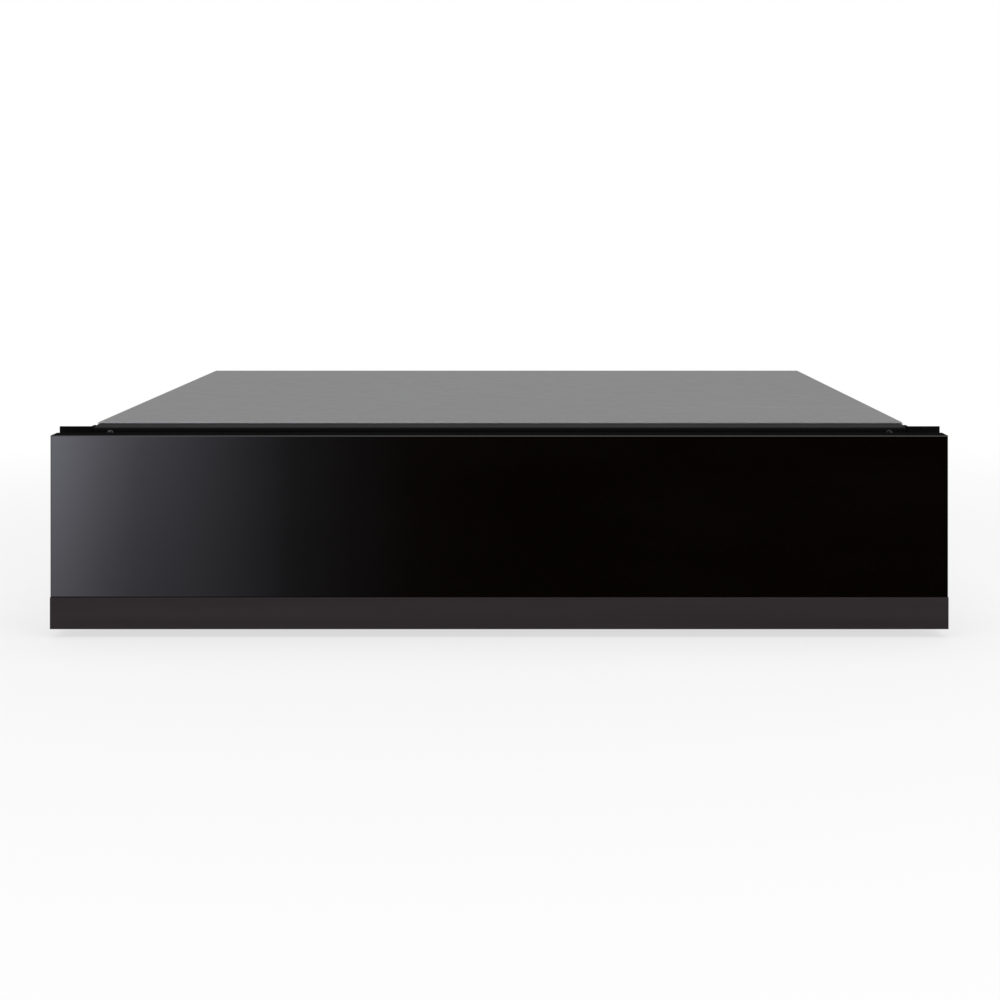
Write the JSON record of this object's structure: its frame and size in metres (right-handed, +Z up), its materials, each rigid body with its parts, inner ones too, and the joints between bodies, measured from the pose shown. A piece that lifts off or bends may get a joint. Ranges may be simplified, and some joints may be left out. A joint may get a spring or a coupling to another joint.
{
  "type": "warming drawer",
  "caption": "Handleless built-in warming drawer: black glass front over a dark strip, push-to-open drawer on ball runners, fan-heated box in a steel cabinet.",
  "frame": {"origin": "middle of the base on the shelf, halfway between the front face and the cabinet's back edge", "axes": "+X to the right seen from the front, +Y to the back, +Z up; the drawer opens along -Y"},
  "size_m": [0.595, 0.55, 0.1375],
  "materials": {
    "black_glass": "gloss",
    "dark_trim": "satin",
    "black_steel": "semi-gloss powder coat",
    "galvanised": "matte",
    "stainless": "satin",
    "zinc": "bright zinc",
    "bearing_steel": "polished",
    "screw_steel": "bright zinc",
    "black_screw": "satin",
    "black_plastic": "fine grain",
    "pale_plastic": "matte",
    "black_rubber": "matte",
    "silicone": "matte",
    "insulation": "fibre board",
    "heater_sheath": "heat tinted",
    "motor_steel": "satin",
    "brass": "satin",
    "lens": "translucent amber",
    "cable_sheath": "matte",
    "wire_sleeve": "braided glass fibre"
  },
  "bodies": {
    "cabinet": {"base_pan": "galvanised", "side_panel_left": "galvanised", "side_panel_right": "galvanised", "top_cover": "galvanised", "rear_panel": "galvanised", "frame_post_left": "black_steel", "frame_post_right": "black_steel", "frame_top_rail": "black_steel", "frame_bottom_rail": "black_steel", "frame_screws": "black_screw", "frame_bumpers": "black_rubber", "cover_screws": "screw_steel", "rear_screws": "screw_steel", "runner_screws_cabinet": "screw_steel", "cable_gland": "black_plastic", "gland_locknut": "black_plastic", "terminal_block": "pale_plastic", "terminal_screws": "brass", "supply_cable": "cable_sheath", "runner_outer_left": "zinc", "runner_outer_right": "zinc", "push_latch_housing": "black_plastic"},
    "drawer": {"front_glass": "black_glass", "trim_strip": "dark_trim", "front_carrier": "black_steel", "front_insulation": "insulation", "front_back_panel": "black_steel", "front_screws": "screw_steel", "control_fascia": "black_plastic", "thermostat_body": "pale_plastic", "switch_body": "black_plastic", "pilot_lens": "lens", "drawer_floor": "stainless", "drawer_side_left": "stainless", "drawer_side_right": "stainless", "drawer_inner_front": "stainless", "drawer_rear_grille": "stainless", "drawer_back_cover": "galvanised", "heater_lid": "stainless", "base_mat": "silicone", "heating_element": "heater_sheath", "element_brackets": "galvanised", "fan_motor": "motor_steel", "overheat_cutout": "black_plastic", "latch_striker": "zinc", "runner_inner_left": "zinc", "runner_inner_right": "zinc", "runner_screws_drawer": "screw_steel", "wiring_loom": "wire_sleeve"},
    "latch_plunger": {"push_latch_plunger": "pale_plastic"},
    "knob": {"thermostat_knob": "black_plastic"},
    "button": {"power_button": "black_plastic"},
    "fan": {"fan_wheel": "galvanised", "fan_shaft": "zinc"},
    "mid_left": {"runner_mid_left": "zinc"},
    "outer_cage_left": {"ball_cage_outer_left": "bearing_steel"},
    "inner_cage_left": {"ball_cage_inner_left": "bearing_steel"},
    "mid_right": {"runner_mid_right": "zinc"},
    "outer_cage_right": {"ball_cage_outer_right": "bearing_steel"},
    "inner_cage_right": {"ball_cage_inner_right": "bearing_steel"}
  },
  "joints": [
    {"name": "push_release", "type": "slide", "parent": "cabinet", "child": "latch_plunger", "axis": [0, -1, 0], "range_m": [-0.0035, 0.012]},
    {"name": "drawer_slide", "type": "slide", "parent": "latch_plunger", "child": "drawer", "axis": [0, -1, 0], "range_m": [0, 0.408], "deforming": ["supply_cable"]},
    {"name": "mid_left_slide", "type": "slide", "parent": "cabinet", "child": "mid_left", "axis": [0, -1, 0], "range_m": [0, 0.204]},
    {"name": "outer_cage_left_slide", "type": "slide", "parent": "cabinet", "child": "outer_cage_left", "axis": [0, -1, 0], "range_m": [0, 0.102]},
    {"name": "inner_cage_left_slide", "type": "slide", "parent": "cabinet", "child": "inner_cage_left", "axis": [0, -1, 0], "range_m": [0, 0.306]},
    {"name": "mid_right_slide", "type": "slide", "parent": "cabinet", "child": "mid_right", "axis": [0, -1, 0], "range_m": [0, 0.204]},
    {"name": "outer_cage_right_slide", "type": "slide", "parent": "cabinet", "child": "outer_cage_right", "axis": [0, -1, 0], "range_m": [0, 0.102]},
    {"name": "inner_cage_right_slide", "type": "slide", "parent": "cabinet", "child": "inner_cage_right", "axis": [0, -1, 0], "range_m": [0, 0.306]},
    {"name": "knob_turn", "type": "hinge", "parent": "drawer", "child": "knob", "pos_m": [0.17, -0.231, 0.1235], "axis": [0, 0, -1], "range_deg": [0, 270]},
    {"name": "button_press", "type": "slide", "parent": "drawer", "child": "button", "axis": [0, 0, 1], "range_m": [-0.003, 0], "stiffness_N_per_m": 400, "springref_m": 0.002},
    {"name": "fan_spin", "type": "hinge", "parent": "drawer", "child": "fan", "pos_m": [0, 0.2, 0.06675], "axis": [0, 1, 0], "continuous": true}
  ],
  "couplings": [
    {"joint": "mid_left_slide", "follows": "drawer_slide", "ratio": 0.5},
    {"joint": "outer_cage_left_slide", "follows": "drawer_slide", "ratio": 0.25},
    {"joint": "inner_cage_left_slide", "follows": "drawer_slide", "ratio": 0.75},
    {"joint": "mid_right_slide", "follows": "drawer_slide", "ratio": 0.5},
    {"joint": "outer_cage_right_slide", "follows": "drawer_slide", "ratio": 0.25},
    {"joint": "inner_cage_right_slide", "follows": "drawer_slide", "ratio": 0.75}
  ]
}
